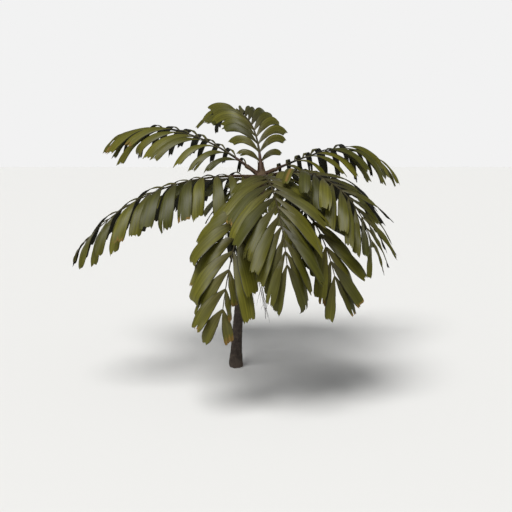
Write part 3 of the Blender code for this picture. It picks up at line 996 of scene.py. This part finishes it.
@dataclass
class Frond:
    """One frond: a channelled rib with pairs of pleated, strap-shaped leaflets.

    The numbers are the solid's own. `fresh` and `shaded` are the shares of leaflets with a fresh
    green and a shaded blade, `curled` the share whose end rolls under. `dry` lists leaflets with
    a dry end: number of the pair, side, and where the dry part starts. `streaked` lists leaflets
    with a dry streak along their middle: number of the pair and side. `slim_tip`, `slim_minus`
    and `slim_plus` are the shares of the solid's width that the leaflets keep at the frond's tip
    and on each side of the rib.
    """

    name: str
    height: float
    azimuth: float
    rise: float
    droop: float
    sweep: float
    length: float
    pairs: int
    leaflet: float
    spread: float
    tip_spread: float
    lift: float
    fall: float
    turn: float
    tip_turn: float = -12
    roll: float = 0
    first: float = 0.14
    short: float = 0.5
    bend: float = BEND_POWER
    lean: float = 0
    width: float = BLADE_WIDTH
    tip: float = TIP_LEAFLET
    fresh: float = 0.3
    shaded: float = 0.25
    curled: float = 0.12
    dry: tuple = ()
    streaked: tuple = ()
    slim_tip: float = 1.0
    slim_minus: float = 1.0
    slim_plus: float = 1.0
    stalk_end: float = 0.17
    columns: int = 12
    rows: int = 24
    thickness: float = 0.0010

    def build(self, finishes: Finishes) -> list[bpy.types.Object]:
        """Builds the frond.

        Args:
            finishes: The tree's finishes.

        Returns:
            The rib and the leaflets.
        """
        nodes = [f"{self.name}_inner", f"{self.name}_outer"]
        self.limb = self.centre_line()
        solid = [self.search_tree(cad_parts[node]) for node in nodes]
        rib = Sheaf()
        self.add_rib(rib)
        leaves = Sheaf()
        placed = self.add_leaflets(leaves, solid)
        pieces = []
        for part, sheaf in (("rib", rib), ("leaflets", leaves)):
            piece = sheaf.piece(f"{self.name}_{part}", finishes.frond)
            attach(piece, "root")
            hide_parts(*nodes)
            pieces.append(piece)
        log.info("%s: %d leaflets, %d faces", self.name, placed, len(leaves.faces))
        return pieces

    def centre_line(self) -> Limb:
        """Centre line of the rib."""
        return Limb(self.name, self.height, self.azimuth, self.rise, self.droop, self.length,
                    self.sweep, self.bend)

    @staticmethod
    def search_tree(node: bpy.types.Object) -> BVHTree:
        """Makes the search tree of a solid's surface.

        Args:
            node: The solid.

        Returns:
            The search tree, in the frame of the whole tree.
        """
        world = node.matrix_world
        points = [world @ v.co for v in node.data.vertices]
        return BVHTree.FromPolygons(points, [tuple(p.vertices) for p in node.data.polygons])

    def root_half(self, u: float) -> float:
        """Half of a leaflet root's length along the rib, as a share of the rib."""
        return ROOT_HALF * bulge(u, *ROOT_ENDS) / self.length

    def stations(self) -> list[tuple[float, float]]:
        """Places the pairs of leaflets.

        Returns:
            For each pair its share among the pairs and its share of the rib.
        """
        last = 1.0 - self.root_half(1.0)
        places = []
        for i in range(self.pairs):
            u = i / (self.pairs - 1)
            places.append((u, self.first + (last - self.first) * u ** PAIR_SPACING))
        return places

    def add_rib(self, sheaf: Sheaf) -> None:
        """Adds the rib: a broad clasping base, a channelled stalk and a thin tip.

        Args:
            sheaf: Mesh it goes in.
        """
        rings = []
        skins = []
        along = []
        for i in range(-RINGS_INSIDE, RIB_RINGS + 1):
            s = i / RIB_RINGS
            point, tangent = self.limb.at(s)
            if s < 0:
                point = point + tangent * s * self.length
            side, up = square_frame(tangent)
            w, h = rib_half_sizes(s)
            clasp = max(0.0, 1 - max(s, 0.0) / CLASP_END) ** CLASP_POWER
            w *= 1.0 + CLASP_WIDER * clasp
            h *= 1.0 + CLASP_HIGHER * clasp
            knot = 1 + KNOT_SIZE * math.sin(i * KNOT_SPACING)
            rings.append(round_ring(point, side, up, w * RIB_SNUG * knot, h * RIB_SNUG, RIB_SIDES,
                                    RIB_CHANNEL))
            along.append(s * self.length)
            if i > -RINGS_INSIDE:
                skins.append(Skin.PETIOLE.value if s < self.stalk_end else Skin.RIB.value)
        sheaf.tube(rings, skins, RIB_GIRTH, along)

    def add_leaflets(self, sheaf: Sheaf, solid: list[BVHTree]) -> int:
        """Adds every leaflet the solid has, in the pose it took there.

        Args:
            sheaf: Mesh they go in.
            solid: Search trees of the inner and the outer half.

        Returns:
            How many were placed.
        """
        dice = random.Random(f"{SEED} {self.name}")
        looks = random.Random(f"looks {self.name}")
        placed = 0
        middle = self.pairs // 2
        for index, (u, s) in enumerate(self.stations()):
            point, tangent = self.limb.at(s)
            sides = square_frame(tangent, self.roll)
            tree = solid[0 if index < middle else 1]
            for sign in (-1, 1):
                draw = [dice.uniform(-1, 1) for _ in range(5)]
                length = self.leaflet * bulge(u, self.short, self.tip)
                length *= 1 + LENGTH_VARIES * draw[0]
                width = self.width * bulge(u, *WIDTH_ENDS) * (1 + WIDTH_VARIES * draw[1])
                spread = self.spread + (self.tip_spread - self.spread) * u + self.lean * sign
                spread += ANGLE_VARIES * draw[2]
                turn = self.turn + (self.tip_turn - self.turn) * u ** TURN_POWER
                turn += ANGLE_VARIES * draw[3]
                fall = self.fall * (1 + FALL_VARIES * draw[4])
                for lift_more, fall_more, turn_more, spread_more, size in POSES:
                    shape = (max(spread + spread_more, LEAST_SPREAD), self.lift + lift_more,
                             fall + fall_more, turn + turn_more, length * size, width * size)
                    coarse = Blade(point, tangent, sides, sign, *shape)
                    if coarse.stands_in(tree, LEAFLET_CORNERS):
                        curl = looks.uniform(*CURL) if looks.random() < self.curled else 0.0
                        blade = Blade(point, tangent, sides, sign, *shape, steps=self.rows,
                                      twist=looks.uniform(-TWIST, TWIST), curl=curl)
                        blade.width *= self.slimness(u, sign)
                        self.add_leaflet(sheaf, blade, sign, rib_half_sizes(s)[0],
                                         self.dry_from(index, sign, looks),
                                         (index, sign) in self.streaked, looks)
                        placed += 1
                        break
        return placed

    def slimness(self, u: float, sign: int) -> float:
        """Share of its solid's width that a leaflet keeps.

        Args:
            u: Share among the pairs.
            sign: Side of the rib.

        Returns:
            The share, smallest at the tip.
        """
        near_tip = max(0.0, (u - SLIM_FROM) / SLIM_SPAN)
        side = self.slim_minus if sign < 0 else self.slim_plus
        return side * (1 - (1 - self.slim_tip) * near_tip)

    def dry_from(self, index: int, sign: int, looks: random.Random) -> float:
        """Share of a leaflet's length from which it is dry.

        Args:
            index: Number of the pair.
            sign: Side of the rib.
            looks: Random source.

        Returns:
            The share, above one for a green leaflet.
        """
        for pair, side, start in self.dry:
            if (pair, side) == (index, sign):
                return start
        return looks.uniform(*DRY_FROM) if looks.random() < DRY_CHANCE else GREEN

    def add_leaflet(self, sheaf: Sheaf, blade: Blade, sign: int, foot: float, dry_from: float,
                    streak: bool, looks: random.Random) -> None:
        """Adds one leaflet: a pleated strap, narrow at its root, with a bitten oblique end.

        Args:
            sheaf: Mesh it goes in.
            blade: Its centre line.
            sign: Side of the rib.
            foot: Half width of the rib at its root.
            dry_from: Share of the length from which it is dry.
            streak: True when a dry streak runs along its middle.
            looks: Random source of its details.
        """
        cut = LeafCut(self.columns, self.fresh, self.shaded, looks)
        start = foot * ROOT_INSIDE / blade.length
        points = []
        normals = []
        places = []
        # A line has one point a row, or two from where it splits: its left and its right edge.
        left = {}
        right = {}
        for j in range(self.columns + 1):
            x, end = cut.line(j)
            for k in range(self.rows + 1):
                f = (k / self.rows) ** ROW_POWER
                t = start + (end - start) * f
                centre, wide, top = blade.at(t)
                half = blade.width * between(cut.outline, t) / 2
                lift = cut.lift(j, x, t, half)
                gap = cut.gap(j, f)
                for edge, store in ((-1, left), (1, right)):
                    if edge == 1 and gap == 0.0:
                        right[(j, k)] = left[(j, k)]
                        continue
                    store[(j, k)] = len(points)
                    points.append(centre + wide * (half * x + edge * gap * SPLIT_APART)
                                  + top * (lift - edge * gap * SPLIT_DOWN))
                    normals.append(top)
                    places.append((half * x + cut.wave, t * blade.length))
        quads = []
        skins = []
        for j in range(self.columns):
            for k in range(self.rows):
                quad = [right[(j, k)], left[(j + 1, k)], left[(j + 1, k + 1)], right[(j, k + 1)]]
                quads.append(quad if sign < 0 else quad[::-1])
                skins.append(cut.skin(j, (k + 0.5) / self.rows, dry_from, streak).value)
        # The underside and the cut edges take the near-black underside finish: painted shade under
        # the leaflets and thin painted shadow lines between them.
        sheaf.shell(points, normals, places, quads, skins, Skin.UNDERSIDE_SHADE.value, self.thickness)


# ------------------------------------------------------------------ trunk
# Spacing of the scars: it varies by this much, and closes up by a share towards a height.
SCAR_VARIES = (0.75, 1.25)
SCARS_CLOSE_BY = 0.3
SCARS_CLOSE_AT = 1.4
# Radius that turns the angle round the trunk into metres of its map.
UNROLL_RADIUS = 0.04
# Carving of the bark in metres: ridges at the scars, fine relief, cracks and lumps at the foot.
SCAR_RIDGE = 0.0011
SCAR_LEVEL = 0.3
SCAR_HALF = 0.0052
SCAR_TILT = 0.004
ROUGHNESS = 0.0007
CRACK_DEPTH = 0.0012
CRACK_HALF = 0.05
FOOT_LUMP = 0.0085
FOOT_TOP = 0.11
# Above this height the carving is this much weaker.
CALM_FROM = 1.34
CALM = 0.6
# Shade of the bark: at its flat ends, elsewhere, and what scars, relief and the foot add to it.
# The relief's part is painted light and shade, lighter on bumps and darker in hollows.
SHADE_ENDS = 0.4
SHADE = 0.30
SHADE_SCAR = 0.09
SHADE_ROUGH = 0.12
SHADE_FOOT = 0.24


@dataclass
class Trunk:
    """Leaning trunk: flared foot, ringed bark, swollen heart, closed at its tip."""

    sides: int = 56
    step: float = 0.006
    scar_spacing: float = 0.042
    first_scar: float = 0.095
    scars_end: float = 1.33
    heart_from: float = 1.335
    top: float = 1.482
    narrows_from: float = 1.428
    narrows_by: float = 0.72

    def heights(self) -> list[float]:
        """Places the rings from the flat cut to the tip.

        Returns:
            Their heights in metres.
        """
        count = int(self.top / self.step)
        return [self.top * i / count for i in range(count + 1)]

    def radius(self, z: float) -> float:
        """Radius at a height: the heart narrows where the leaf stalks crowd round it.

        Args:
            z: Height in metres.

        Returns:
            The radius in metres.
        """
        t = min(1.0, max(0.0, (z - self.narrows_from) / (self.top - self.narrows_from)))
        return trunk_radius(z) * (1 - self.narrows_by * t * t * (3 - 2 * t))

    def scars(self) -> list[float]:
        """Places the leaf scars, closer near the heart.

        Returns:
            Their heights in metres.
        """
        dice = random.Random("scars")
        heights = []
        z = self.first_scar
        while z < self.scars_end:
            heights.append(z)
            spacing = self.scar_spacing * dice.uniform(*SCAR_VARIES)
            z += spacing * (1.0 - SCARS_CLOSE_BY * z / SCARS_CLOSE_AT)
        return heights

    def build(self, finishes: Finishes) -> bpy.types.Object:
        """Builds the trunk.

        Args:
            finishes: The tree's finishes.

        Returns:
            The trunk piece.
        """
        heights = self.heights()
        bpy.ops.object.select_all(action="DESELECT")
        bpy.ops.mesh.primitive_circle_add(vertices=self.sides, radius=self.radius(0.0),
                                          fill_type="NGON", location=(0, 0, 0))
        trunk = bpy.context.active_object
        trunk.name = "palm_trunk_bark"
        bpy.ops.object.mode_set(mode="EDIT")
        bpy.ops.mesh.select_all(action="SELECT")
        for z0, z1 in zip(heights, heights[1:]):
            shift = trunk_centre(z1) - trunk_centre(z0)
            scale = self.radius(z1) / self.radius(z0)
            bpy.ops.mesh.extrude_region_move(TRANSFORM_OT_translate={"value": shift})
            bpy.ops.transform.resize(value=(scale, scale, 1.0), center_override=trunk_centre(z1))
        bpy.ops.mesh.select_all(action="SELECT")
        bpy.ops.mesh.normals_make_consistent(inside=False)
        bpy.ops.object.mode_set(mode="OBJECT")
        self.carve(trunk.data)
        self.unroll(trunk.data)
        trunk.data.materials.append(finishes.bark)
        trunk.data.materials.append(finishes.sheath)
        for face in trunk.data.polygons:
            face.material_index = 1 if face.center.z > self.heart_from else 0
        bpy.ops.object.shade_smooth_by_angle(angle=CREASE)
        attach(trunk, "root")
        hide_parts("trunk")
        log.info("trunk: %d faces", len(trunk.data.polygons))
        return trunk

    @staticmethod
    def unroll(mesh: bpy.types.Mesh) -> None:
        """Gives the trunk a map in metres: round the trunk, and up it.

        Args:
            mesh: The trunk's mesh.
        """
        layer = mesh.uv_layers.new(name="blade")
        for face in mesh.polygons:
            middle = math.atan2(face.center.y, face.center.x - trunk_centre(face.center.z).x)
            for corner in face.loop_indices:
                p = mesh.vertices[mesh.loops[corner].vertex_index].co
                angle = math.atan2(p.y, p.x - trunk_centre(p.z).x)
                angle += 2 * math.pi * round((middle - angle) / (2 * math.pi))
                layer.data[corner].uv = (angle * UNROLL_RADIUS, p.z)

    def carve(self, mesh: bpy.types.Mesh) -> None:
        """Carves the leaf scars, cracks and the bumps of the foot into the bark.

        Args:
            mesh: The trunk's mesh.
        """
        scars = self.scars()
        groove = mesh.attributes.new("groove", "FLOAT", "POINT")
        for index, vert in enumerate(mesh.vertices):
            p = vert.co.copy()
            axis = trunk_centre(p.z)
            arm = Vector((p.x - axis.x, p.y - axis.y, 0.0))
            if arm.length < 0.001:
                groove.data[index].value = SHADE_ENDS
                continue
            way = arm.normalized()
            angle = math.atan2(arm.y, arm.x)
            tilt = SCAR_TILT * math.sin(angle + p.z * 9)
            rise = 0.0
            for z in scars:
                d = (p.z + tilt - z) / SCAR_HALF
                if abs(d) < 3:
                    rise = max(rise, math.exp(-d * d))
            rough = noise.fractal(Vector((p.x * 60, p.y * 60, p.z * 28)), 1.0, 2.0, 4)
            crack = noise.noise(Vector((math.cos(angle) * 7, math.sin(angle) * 7, p.z * 14)))
            foot = max(0.0, 1 - p.z / FOOT_TOP)
            lump = noise.noise(Vector((way.x * 2.4, way.y * 2.4, p.z * 26)))
            push = SCAR_RIDGE * (rise - SCAR_LEVEL) + ROUGHNESS * rough
            push -= CRACK_DEPTH * (abs(crack) < CRACK_HALF)
            push += foot * FOOT_LUMP * lump
            if p.z > CALM_FROM:
                push *= CALM
            vert.co = p + way * push
            # Paler on the scar rings and towards the foot; the relief term is painted light and
            # shade, lighter on bumps and darker in hollows.
            shade = SHADE + SHADE_SCAR * rise + SHADE_ROUGH * rough + SHADE_FOOT * foot
            groove.data[index].value = min(1.0, max(0.0, shade))
        mesh.update()


# A sheath climbs the trunk until this share of its rows, and leaves it over the last ones.
CLIMB_END = 0.6
LEAVES_FROM = 0.45
LEAVES_SPAN = 0.55
# Its wrap closes by this share towards the stalk, and its channel is wider and higher than the
# rib it holds.
WRAP_CLOSES = 0.35
CHANNEL_WIDER = 1.72
CHANNEL_HIGHER = 1.42
# Ragged lower edge and fibre ridges in metres, and the size of a face on its map.
RAGGED = 0.010
RIDGE = 0.0006
SHEATH_MAP = (0.008, 0.010)


@dataclass
class HeartSheaths:
    """Clasping leaf sheaths: each frond's foot widens into a fibrous plate round the heart.

    A sheath starts `drop` below its frond's foot, wraps the trunk by `wrap` degrees to each side
    there, and closes into a channel under the leaf stalk over `reach`. Older, lower sheaths lie
    outside the younger ones.
    """

    drop: float = 0.105
    reach: float = 0.090
    wrap: float = 66.0
    channel: float = 118.0
    layer: float = 0.0011
    columns: int = 16
    rows: int = 20
    thickness: float = 0.0016

    def build(self, fronds: tuple, finishes: Finishes) -> bpy.types.Object:
        """Builds the sheaths.

        Args:
            fronds: The tree's fronds.
            finishes: The tree's finishes.

        Returns:
            The sheaths as one piece.
        """
        sheaf = Sheaf()
        for order, frond in enumerate(sorted(fronds, key=lambda f: -f.height)):
            self.add_sheath(sheaf, frond, self.layer * (order + 1))
        piece = sheaf.piece("heart_leaf_sheaths", [finishes.sheath])
        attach(piece, "root")
        log.info("sheaths: %d faces", len(piece.data.polygons))
        return piece

    def add_sheath(self, sheaf: Sheaf, frond: Frond, proud: float) -> None:
        """Adds the sheath of one frond.

        Args:
            sheaf: Mesh it goes in.
            frond: The frond.
            proud: How far it stands off the trunk, in metres.
        """
        limb = frond.centre_line()
        grid = []
        for k in range(self.rows + 1):
            f = k / self.rows
            out = max(0.0, (f - LEAVES_FROM) / LEAVES_SPAN)
            blend = out * out * (3 - 2 * out)
            point, tangent = limb.at(self.reach * out / frond.length)
            side, up = square_frame(tangent)
            w, h = rib_half_sizes(0.0)
            row = []
            for j in range(self.columns + 1):
                a = -1 + 2 * j / self.columns
                ragged = RAGGED * noise.noise(Vector((a * 3.1, frond.azimuth, 0.0))) * (1 - f)
                z = limb.points[0].z - self.drop * (1 - min(1.0, f / CLIMB_END)) + ragged
                turn = math.radians(frond.azimuth + a * self.wrap * (1 - WRAP_CLOSES * f))
                ridge = RIDGE * (j % 2)
                arm = trunk_radius(z) + proud + ridge
                on_trunk = trunk_centre(z) + Vector((math.cos(turn), math.sin(turn), 0.0)) * arm
                open_by = math.radians(a * self.channel)
                under = point - side * math.sin(open_by) * (w * CHANNEL_WIDER + ridge)
                under = under - up * math.cos(open_by) * (h * CHANNEL_HIGHER + ridge)
                row.append(on_trunk.lerp(under, blend))
            grid.append(row)
        points = []
        normals = []
        places = []
        for k, row in enumerate(grid):
            for j, point in enumerate(row):
                around = row[min(j + 1, self.columns)] - row[max(j - 1, 0)]
                along = grid[min(k + 1, self.rows)][j] - grid[max(k - 1, 0)][j]
                points.append(point)
                normals.append(around.cross(along).normalized())
                places.append((j * SHEATH_MAP[0] + frond.azimuth, k * SHEATH_MAP[1]))
        wide = self.columns + 1
        quads = [[k * wide + j, k * wide + j + 1, (k + 1) * wide + j + 1, (k + 1) * wide + j]
                 for k in range(self.rows) for j in range(self.columns)]
        sheaf.shell(points, normals, places, quads, [0] * len(quads), 0, self.thickness)


# ------------------------------------------------------------------ flower stalks
# Stem, strands and side strands: radius at the foot and at the tip, and sides.
STEM_HALF = 0.006
STEM = (0.0055, 0.0030, 8)
STRAND = (0.0028, 0.0010, 6)
SIDE_STRAND = (0.0014, 0.0006, 5)
STRAND_GIRTH = 0.02
# Steps along each, and the place of the last strand on the stem.
STEM_STEPS = 30
STRAND_STEPS = 16
SIDE_STEPS = 8
LAST_STRAND = 0.97
# Side strands of a strand: how many, the steps they leave from, their way down, their share of
# the strand's length, how far they slow down and how far they sag.
SIDE_STRANDS = 7
SIDE_FROM = (4, 14)
SIDE_DOWN = (-2.5, -0.6)
SIDE_REACH = (0.15, 0.42)
SIDE_SLOWS = 0.35
SIDE_SAGS = 0.45
# Waviness of strands and side strands: bends to the metre and size. Strands reach it in 6 steps.
STRAND_WAVES = (14, 0.012)
SIDE_WAVES = (22, 0.004)
WAVES_GROW = 6


@dataclass
class FlowerStalk:
    """Old flower stalk: a thin dry stem with hanging strands, each with finer side strands."""

    name: str
    height: float
    azimuth: float
    rise: float
    droop: float
    length: float
    strands: int
    strand: float
    first: float
    spread: float
    fall: float

    def build(self, finishes: Finishes) -> bpy.types.Object:
        """Builds the stalk.

        Args:
            finishes: The tree's finishes.

        Returns:
            The stalk piece.
        """
        limb = Limb(self.name, self.height, self.azimuth, self.rise, self.droop, self.length,
                    half_width=STEM_HALF, half_height=STEM_HALF)
        solid = Frond.search_tree(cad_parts[self.name])
        sheaf = Sheaf()
        stem = [limb.at(i / STEM_STEPS)[0] for i in range(STEM_STEPS + 1)]
        self.add_strand(sheaf, stem, *STEM)
        dice = random.Random(f"{SEED} {self.name}")
        looks = random.Random(f"looks {self.name}")
        for i in range(self.strands):
            s = self.first + (LAST_STRAND - self.first) * i / (self.strands - 1)
            point, tangent = limb.at(s)
            sides = square_frame(tangent)
            for sign in (-1, 1):
                for _ in range(STRAND_TRIES):
                    length = self.strand * dice.uniform(STRAND_SHORTEST, 1.0)
                    spread = self.spread + dice.uniform(-STRAND_SPREAD_VARIES,
                                                        STRAND_SPREAD_VARIES)
                    lift = dice.uniform(-STRAND_LIFT_VARIES, STRAND_LIFT_VARIES)
                    shape = (spread, lift, self.fall, 0, length, STRAND_WIDTH)
                    blade = Blade(point, tangent, sides, sign, *shape)
                    if blade.stands_in(solid, STRAND_CORNERS):
                        fine = Blade(point, tangent, sides, sign, *shape, steps=STRAND_STEPS)
                        self.add_bunch(sheaf, fine, looks)
                        break
        piece = sheaf.piece(f"{self.name}_strands", [finishes.stalk])
        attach(piece, "root")
        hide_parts(self.name)
        log.info("%s: %d faces", self.name, len(piece.data.polygons))
        return piece

    def add_bunch(self, sheaf: Sheaf, blade: Blade, looks: random.Random) -> None:
        """Adds one strand and its finer side strands.

        Args:
            sheaf: Mesh they go in.
            blade: Centre line of the strand.
            looks: The stalk's random draws.
        """
        scale, size = STRAND_WAVES
        line = [blade.at(i / STRAND_STEPS)[0] for i in range(STRAND_STEPS + 1)]
        bent = [p + noise.noise_vector(p * scale) * size * min(1, i / WAVES_GROW)
                for i, p in enumerate(line)]
        self.add_strand(sheaf, bent, *STRAND)
        scale, size = SIDE_WAVES
        for _ in range(SIDE_STRANDS):
            k = looks.randrange(*SIDE_FROM)
            way = Vector((looks.uniform(-1, 1), looks.uniform(-1, 1), looks.uniform(*SIDE_DOWN)))
            reach = blade.length * looks.uniform(*SIDE_REACH)
            side = []
            for i in range(SIDE_STEPS + 1):
                f = i / SIDE_STEPS
                p = bent[k] + way.normalized() * reach * f * (1 - SIDE_SLOWS * f)
                p.z -= reach * SIDE_SAGS * f * f
                side.append(p + noise.noise_vector(p * scale) * size * f)
            self.add_strand(sheaf, side, *SIDE_STRAND)

    @staticmethod
    def add_strand(sheaf: Sheaf, line: list[Vector], thick: float, thin: float,
                   sides: int) -> None:
        """Adds a round strand along a line, tapering from thick to thin.

        Args:
            sheaf: Mesh it goes in.
            line: Points along it.
            thick: Radius at its foot in metres.
            thin: Radius at its tip in metres.
            sides: Number of sides.
        """
        rings = []
        along = [0.0]
        for i, point in enumerate(line):
            a = line[max(i - 1, 0)]
            b = line[min(i + 1, len(line) - 1)]
            tangent = (b - a).normalized()
            side, up = square_frame(tangent)
            r = thick + (thin - thick) * i / (len(line) - 1)
            rings.append(round_ring(point, side, up, r, r, sides))
            if i:
                along.append(along[-1] + (point - line[i - 1]).length)
        sheaf.tube(rings, [0] * (len(line) - 1), STRAND_GIRTH, along)


# ------------------------------------------------------------------ the tree and its stage
@dataclass
class PalmTree:
    """The whole tree."""

    trunk: Trunk = field(default_factory=Trunk)
    sheaths: HeartSheaths = field(default_factory=HeartSheaths)
    fronds: tuple = (
        Frond("front_frond", 1.435, 275, 8, 76, 8, 1.17, 13, 0.50, 58, 25, 0, 1.1, -38, first=0.08,
              width=0.092, slim_minus=0.95, slim_plus=0.95),
        Frond("front_left_frond", 1.395, 260, -10, 60, -8, 1.25, 9, 0.49, 40, 30, 0, 1.3, -30,
              roll=15, lean=7, width=0.110, tip=0.50, fresh=0.5,
              dry=((8, -1, 0.84), (7, -1, 0.84), (6, -1, 0.93))),
        Frond("front_right_frond", 1.395, 300, -2, 66, 0, 1.10, 10, 0.44, 50, 22, 0, 0.6, -30,
              roll=-8, width=0.096, fresh=0.45, dry=((8, 1, 0.90),)),
        Frond("right_front_frond", 1.438, 318, 15, 80, -12, 1.12, 13, 0.46, 65, 25, 10, 1.6, -15,
              first=0.08, width=0.085, tip=0.55, streaked=((2, 1),), slim_tip=0.6),
        Frond("left_frond", 1.435, 200, 4, 53, 0, 1.37, 15, 0.49, 84, 30, 12, 2.6, -15, short=1.1,
              first=0.07, width=0.098, tip=0.42, slim_tip=0.42, slim_plus=0.62),
        Frond("left_back_frond", 1.460, 160, 36, 51, -15, 1.25, 15, 0.58, 46, 22, 12, 1.8, -15,
              short=0.7, first=0.07, tip=0.5, dry=((11, -1, 0.88), (14, 1, 0.85)),
              slim_tip=0.42, slim_plus=0.62),
        Frond("right_back_frond", 1.458, 38, 17, 48, 0, 1.21, 15, 0.56, 44, 22, 22, 2.2, -15,
              short=0.5, first=0.08, bend=2.2, tip=0.5, slim_tip=0.38, slim_minus=0.62),
        Frond("back_frond", 1.460, 95, 60, 76, 33, 1.04, 14, 0.40, 42, 25, 28, 1.3, 15,
              tip_turn=15, first=0.08),
        Frond("right_frond", 1.420, 18, 18, 98, 15, 1.00, 12, 0.40, 60, 25, 15, 1.4, 15,
              tip_turn=15, first=0.08),
        Frond("rear_right_frond", 1.405, 62, 6, 72, 8, 1.10, 12, 0.42, 60, 25, 12, 1.6, 15,
              tip_turn=15, first=0.08),
        Frond("rear_frond", 1.400, 112, -6, 60, -8, 1.06, 12, 0.42, 60, 25, 10, 1.4, 15,
              tip_turn=15, first=0.08),
        Frond("rear_left_frond", 1.405, 150, 4, 46, 8, 1.00, 11, 0.38, 60, 25, 12, 1.6, 15,
              tip_turn=15, first=0.08),
    )
    stalks: tuple = (
        FlowerStalk("left_flower_stalk", 1.345, 205, -32, 40, 0.60, 6, 0.30, 0.62, 38, 2.0),
        FlowerStalk("right_flower_stalk", 1.345, 268, -70, 16, 0.66, 6, 0.34, 0.60, 26, 1.4),
    )

    def build(self) -> None:
        """Builds the trunk, the heart, the fronds and the stalks in order."""
        finishes = Finishes()
        finishes.build()
        self.trunk.build(finishes)
        self.sheaths.build(self.fronds, finishes)
        for frond in self.fronds:
            frond.build(finishes)
        for stalk in self.stalks:
            stalk.build(finishes)


@dataclass
class Studio:
    """Pale floor, even sky, soft light from above and the camera."""

    floor_size: float = 60.0
    camera_place: tuple = (0.1519, -5.1729, 1.7603)
    camera_pitch: float = -10.0
    lens_mm: float = 50.0
    sun_way: tuple = (66.0, 240.0)
    sun_angle: float = 35.0
    sun_strength: float = 3.1

    def build(self) -> None:
        """Builds the stage."""
        bpy.ops.object.select_all(action="DESELECT")
        bpy.ops.mesh.primitive_plane_add(size=self.floor_size, location=(0, 0, 0))
        floor = bpy.context.active_object
        floor.name = "studio_floor"
        floor.data.materials.append(StudioFloor().build())
        self.add_sky()
        self.add_soft_sun()
        bpy.context.scene.view_settings.view_transform = "Standard"
        camera = bpy.data.objects.new("camera", bpy.data.cameras.new("camera"))
        camera.data.lens = self.lens_mm
        camera.data.sensor_width = 36.0
        camera.location = self.camera_place
        camera.rotation_euler = (math.radians(90.0 + self.camera_pitch), 0.0, 0.0)
        bpy.context.scene.collection.objects.link(camera)
        bpy.context.scene.camera = camera
        log.info("studio: floor, sky, soft sun and camera")

    @staticmethod
    def add_sky() -> None:
        """Adds an even white sky that is brighter near the horizon, as behind a studio sweep."""
        world = bpy.data.worlds.new("studio_sky")
        world.use_nodes = True
        tree = world.node_tree
        way = add_node(tree, "TexCoord")
        parts = add_node(tree, "SeparateXYZ", None, None, {0: (way, "Generated")})
        level = add_node(tree, "ValToRGB", None, None, {"Fac": (parts, 2)},
                         ((0.17, "f2f2f2"), (0.32, "747678")))
        tree.links.new(level.outputs[0], tree.nodes["Background"].inputs["Color"])
        bpy.context.scene.world = world

    def add_soft_sun(self) -> None:
        """Adds the main light: a broad soft source high above, a little to the front left."""
        lamp = bpy.data.lights.new("soft_sun", "SUN")
        lamp.angle = math.radians(self.sun_angle)
        lamp.energy = self.sun_strength
        light = bpy.data.objects.new("soft_sun", lamp)
        light.rotation_euler = aim(*self.sun_way).to_track_quat("Z", "Y").to_euler()
        bpy.context.scene.collection.objects.link(light)


def main() -> None:
    """Builds the tree and its stage."""
    logging.basicConfig(level=logging.INFO, format="%(message)s")
    # Noise vectors are seeded from the clock unless they are given a seed.
    noise.seed_set(SEED)
    PalmTree().build()
    Studio().build()


if __name__ == "__main__":
    main()
